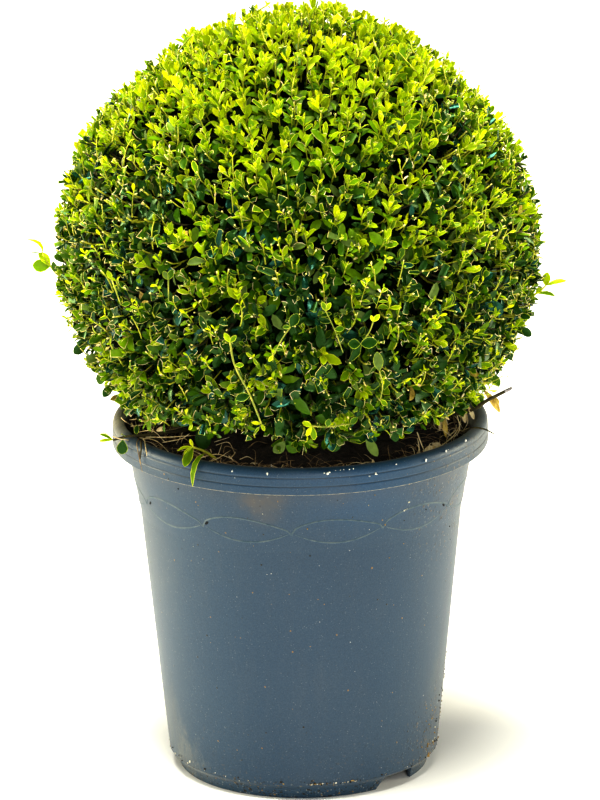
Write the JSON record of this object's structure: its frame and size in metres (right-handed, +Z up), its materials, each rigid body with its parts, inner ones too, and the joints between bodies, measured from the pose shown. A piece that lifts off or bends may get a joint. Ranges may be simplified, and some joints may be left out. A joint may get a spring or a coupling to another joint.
{
  "type": "box topiary ball",
  "caption": "Dense clipped ball of small-leaved evergreen foliage on a short hidden stem, growing in a tapered plastic nursery pot with a turned-over rim, filled with potting soil.",
  "frame": {"origin": "middle of the pot's flat underside, on the ground", "axes": "+Z up the pot and the stem, -Y the front, which has a drain notch to its right, +X to the right seen from the front"},
  "size_m": [0.4129, 0.3752, 0.6023],
  "materials": {
    "pot_plastic": "blue-grey moulded polypropylene, slightly scuffed, with a soft sheen",
    "potting_soil": "dark moist potting soil with fibres and clods",
    "bark": "pale fissured bark, clipped twigs",
    "leaves": "small glossy leaves, lime on the top of the ball and deep green lower down"
  },
  "bodies": {
    "root": {"pot": "pot_plastic", "soil": "potting_soil", "stem": "bark", "low_shoot_left": "leaves", "low_shoot_front": "leaves", "bare_twig_right": "bark", "foliage_ball": "leaves"}
  },
  "joints": []
}
